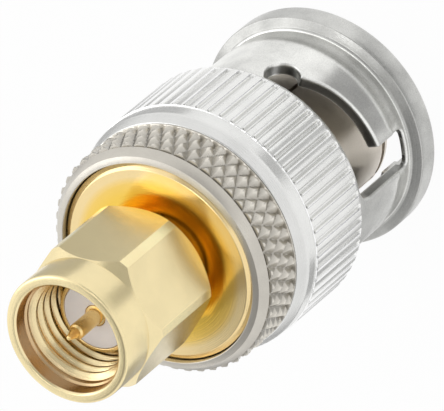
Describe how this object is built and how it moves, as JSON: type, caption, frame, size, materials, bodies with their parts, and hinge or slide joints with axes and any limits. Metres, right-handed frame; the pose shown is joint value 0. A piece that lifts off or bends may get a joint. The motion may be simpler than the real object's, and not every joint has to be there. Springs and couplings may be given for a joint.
{
  "type": "coaxial adapter",
  "caption": "Coaxial adapter with a spring-loaded bayonet sleeve and a fluted grip on one end, and a hexagon coupling nut round a centre pin on the other.",
  "frame": {"origin": "centre of the bayonet sleeve's rim face, on which the adapter stands", "axes": "+Z along the common axis from the bayonet end to the SMA end; +X and +Y lie across it"},
  "size_m": [0.0152, 0.0152, 0.0282],
  "materials": {
    "nickel_plate": "satin nickel plate",
    "nickel_dull": "dull nickel on copper alloy",
    "gold_plate": "gold plate, polished",
    "pale_gold_plate": "pale gold plate, satin",
    "ptfe": "white fluoropolymer, matt",
    "spring_steel": "spring steel",
    "grey_silicone": "silicone rubber, matt"
  },
  "bodies": {
    "adapter": {"bnc_body": "nickel_plate", "bnc_outer_contact": "nickel_dull", "bnc_gasket": "grey_silicone", "bnc_insulator": "ptfe", "bnc_center_contact": "gold_plate", "flat_washer": "spring_steel", "wave_washer": "spring_steel", "knurled_collar": "nickel_plate", "sma_body": "gold_plate", "sma_insulator": "ptfe", "sma_center_contact": "gold_plate", "sma_gasket": "grey_silicone"},
    "sleeve_washer": {"thrust_washer": "spring_steel"},
    "sleeve": {"coupling_sleeve": "nickel_plate"},
    "nut_ring": {"sma_retaining_ring": "spring_steel"},
    "nut": {"sma_coupling_nut": "pale_gold_plate"}
  },
  "joints": [
    {"name": "sleeve_pull", "type": "slide", "parent": "adapter", "child": "sleeve_washer", "axis": [0, 0, -1], "range_m": [0, 0.0008], "stiffness_N_per_m": 8000, "springref_m": -0.0002, "deforming": ["wave_washer"]},
    {"name": "sleeve_turn", "type": "hinge", "parent": "sleeve_washer", "child": "sleeve", "pos_m": [0, 0, 0], "axis": [0, 0, 1], "continuous": true},
    {"name": "nut_float", "type": "slide", "parent": "adapter", "child": "nut_ring", "axis": [0, 0, 1], "range_m": [0, 0.0002]},
    {"name": "nut_turn", "type": "hinge", "parent": "nut_ring", "child": "nut", "pos_m": [0, 0, 0], "axis": [0, 0, 1], "continuous": true}
  ]
}
